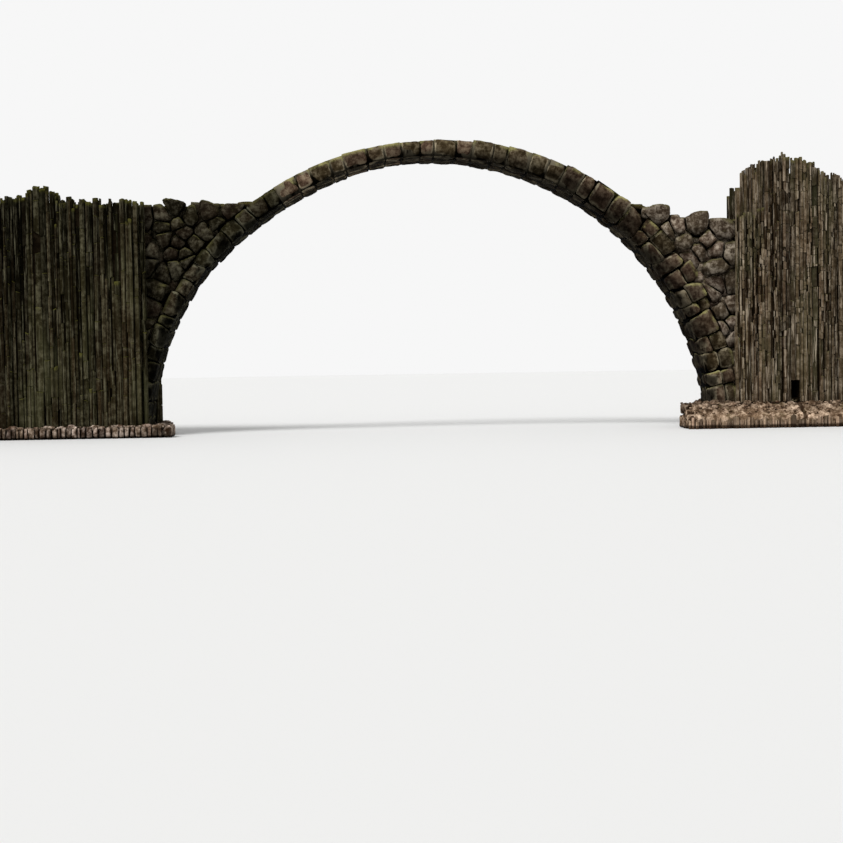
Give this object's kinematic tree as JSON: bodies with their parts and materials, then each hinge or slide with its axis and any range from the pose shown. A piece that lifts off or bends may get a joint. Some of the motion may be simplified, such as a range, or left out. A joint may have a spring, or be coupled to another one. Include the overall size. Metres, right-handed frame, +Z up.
{
  "type": "moon bridge",
  "caption": "Round-arched stone moon bridge of rough basalt blocks between two abutments clad in upright basalt columns, with tall broken columns beside the walkway.",
  "frame": {"origin": "on the water surface, under the crown of the arch, in the middle of the bridge's length and width", "axes": "+X along the bridge towards the abutment with the tall columns, +Y across the bridge away from the pictured side, +Z up"},
  "size_m": [32.9, 5.3362, 10.2629],
  "materials": {
    "ring_basalt": "rough dark basalt blocks with pale joints, mauve tint and moss on top",
    "boulder_masonry": "rounded basalt boulders with deep dark joints and patches of moss",
    "rubble_fill": "rubble masonry",
    "column_basalt": "upright broken basalt columns, grey brown with pale streaks",
    "path_paving": "worn uneven basalt paving with moss",
    "plinth_stone": "dusty pinkish brown stone, wet and dark at the water",
    "kerb_basalt": "short column stubs, dusty on top and wet at the water"
  },
  "bodies": {
    "root": {"abutment_left": "rubble_fill", "abutment_right": "rubble_fill", "columns_back_left": "column_basalt", "columns_back_right": "column_basalt", "columns_front_left": "column_basalt", "columns_front_right": "column_basalt", "end_columns_left": "column_basalt", "end_columns_right": "column_basalt", "footing_back_left": "plinth_stone", "footing_front_left": "plinth_stone", "inner_columns_back_left": "column_basalt", "inner_columns_back_right": "column_basalt", "inner_columns_front_left": "column_basalt", "inner_columns_front_right": "column_basalt", "kerb_stubs_back_right": "kerb_basalt", "kerb_stubs_front_right": "kerb_basalt", "keystone": "ring_basalt", "plinth_back_right": "plinth_stone", "plinth_front_right": "plinth_stone", "spandrel_fill_left": "rubble_fill", "spandrel_fill_right": "rubble_fill", "spandrel_wall_back_left": "boulder_masonry", "spandrel_wall_back_right": "boulder_masonry", "spandrel_wall_front_left": "boulder_masonry", "spandrel_wall_front_right": "boulder_masonry", "tall_columns_back_left": "column_basalt", "tall_columns_back_right": "column_basalt", "tall_columns_front_left": "column_basalt", "tall_columns_front_right": "column_basalt", "voussoirs_left_crown_a": "ring_basalt", "voussoirs_left_crown_b": "ring_basalt", "voussoirs_left_foot_a": "ring_basalt", "voussoirs_left_foot_b": "ring_basalt", "voussoirs_left_haunch_a": "ring_basalt", "voussoirs_left_haunch_b": "ring_basalt", "voussoirs_right_crown_a": "ring_basalt", "voussoirs_right_crown_b": "ring_basalt", "voussoirs_right_foot_a": "ring_basalt", "voussoirs_right_foot_b": "ring_basalt", "voussoirs_right_haunch_a": "ring_basalt", "voussoirs_right_haunch_b": "ring_basalt", "walkway_left": "path_paving", "walkway_right": "path_paving"}
  },
  "joints": []
}
